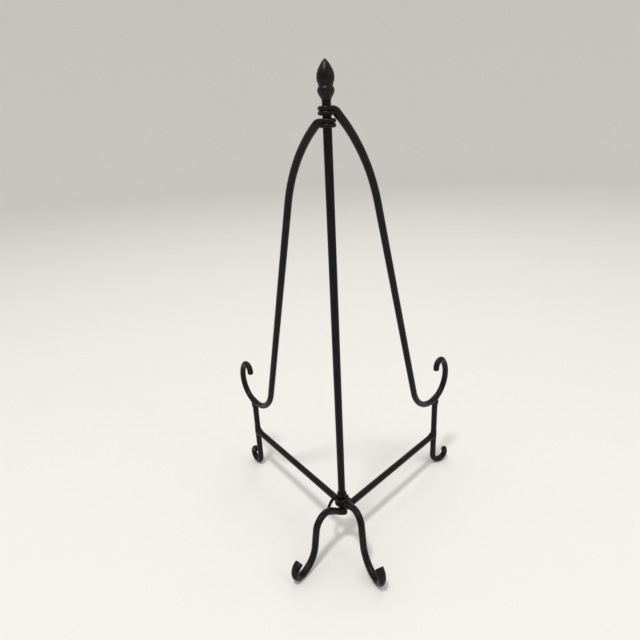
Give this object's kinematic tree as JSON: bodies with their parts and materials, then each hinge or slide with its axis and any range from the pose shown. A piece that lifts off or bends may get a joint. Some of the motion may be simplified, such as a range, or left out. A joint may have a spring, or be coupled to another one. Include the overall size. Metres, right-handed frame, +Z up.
{
  "type": "display easel",
  "caption": "Folding wire display easel: two bent-rod side frames with curled hooks and feet, swinging on a straight centre post with a bud finial.",
  "frame": {"origin": "on the floor, at the middle of the footprint's bounding box", "axes": "+Z up along the centre post, +Y towards the display side where the hooks are, +X to the right seen from behind"},
  "size_m": [0.2627, 0.2184, 0.46],
  "materials": {
    "post_coat": "satin dark bronze-black powder coat on steel rod",
    "rod_coat": "satin dark bronze-black powder coat on bent steel rod",
    "finial_coat": "satin black powder coat on a cast finial",
    "weld_coat": "satin dark bronze-black powder coat over weld beads"
  },
  "bodies": {
    "post": {"centre_post": "post_coat", "finial": "finial_coat", "stop_collar": "post_coat"},
    "left_frame": {"left_arm": "rod_coat", "left_leg": "rod_coat", "left_bar": "rod_coat", "left_rear_foot": "rod_coat", "left_hook_weld": "weld_coat", "left_bar_weld": "weld_coat", "left_foot_weld": "weld_coat"},
    "right_frame": {"right_arm": "rod_coat", "right_leg": "rod_coat", "right_bar": "rod_coat", "right_rear_foot": "rod_coat", "right_hook_weld": "weld_coat", "right_bar_weld": "weld_coat", "right_foot_weld": "weld_coat"}
  },
  "joints": [
    {"name": "left_swing", "type": "hinge", "parent": "post", "child": "left_frame", "pos_m": [0, -0.03706, 0.05], "axis": [0, 0, 1], "range_deg": [-40, 25]},
    {"name": "right_swing", "type": "hinge", "parent": "post", "child": "right_frame", "pos_m": [0, -0.03706, 0.05], "axis": [0, 0, 1], "range_deg": [-25, 40]}
  ]
}
